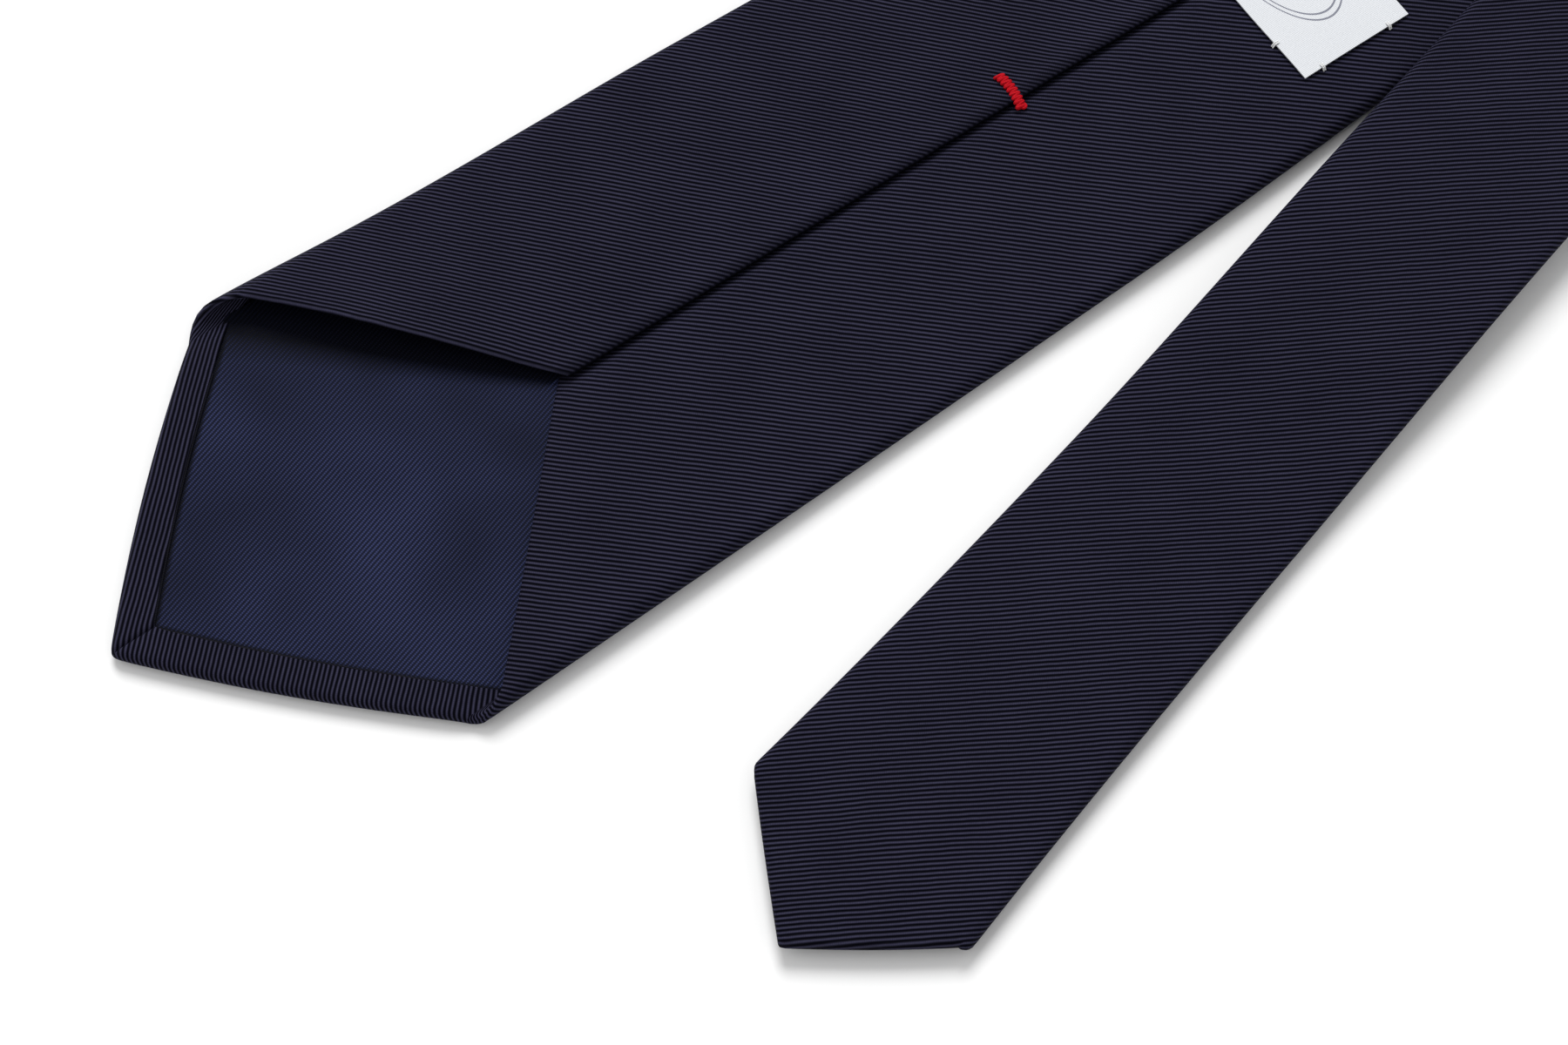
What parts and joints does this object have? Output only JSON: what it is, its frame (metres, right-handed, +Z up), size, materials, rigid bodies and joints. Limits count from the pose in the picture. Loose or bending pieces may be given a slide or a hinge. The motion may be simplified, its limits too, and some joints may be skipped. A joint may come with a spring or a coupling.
{
  "type": "necktie",
  "caption": "Ribbed necktie laid folded at the neck, wide blade back up with its lining showing, narrow tail face up over it.",
  "frame": {"origin": "centre of the wide blade's shoulder line, on the outer face of its front cloth, which lies on the table", "axes": "+X from the wide blade's point towards the neck fold, +Y across the tie, +Z up, out of the wide blade's back"},
  "size_m": [0.7445, 0.1485, 0.0088],
  "materials": {
    "shell_cloth": "ribbed silk with a low sheen",
    "tipping_cloth": "smooth twill lining",
    "interlining_felt": "matt brushed wool",
    "navy_thread": "matt thread",
    "red_thread": "twisted thread with a low sheen",
    "label_weave": "fine woven satin",
    "white_thread": "matt thread"
  },
  "bodies": {
    "blade_half": {"blade_shell": "shell_cloth", "neck_shell": "shell_cloth", "blade_interlining": "interlining_felt", "blade_tipping": "tipping_cloth", "blade_tipping_thread": "navy_thread", "blade_join_thread": "navy_thread", "blade_slip_stitch": "navy_thread", "blade_bar_tack": "red_thread", "label": "label_weave", "label_tack_1": "white_thread", "label_tack_2": "white_thread", "label_tack_3": "white_thread", "label_tack_4": "white_thread", "label_tack_5": "white_thread", "label_tack_6": "white_thread"},
    "tail_half": {"tail_shell": "shell_cloth", "tail_interlining": "interlining_felt", "tail_tipping": "tipping_cloth", "tail_tipping_thread": "navy_thread", "tail_join_thread": "navy_thread", "tail_slip_stitch": "navy_thread", "tail_bar_tack": "red_thread"}
  },
  "joints": [
    {"name": "neck_fold", "type": "hinge", "parent": "blade_half", "child": "tail_half", "pos_m": [0.70408, 0, 0.0044], "axis": [0, 1, 0], "range_deg": [0, 179.5], "deforming": ["neck_shell", "blade_interlining", "blade_slip_stitch"]}
  ]
}
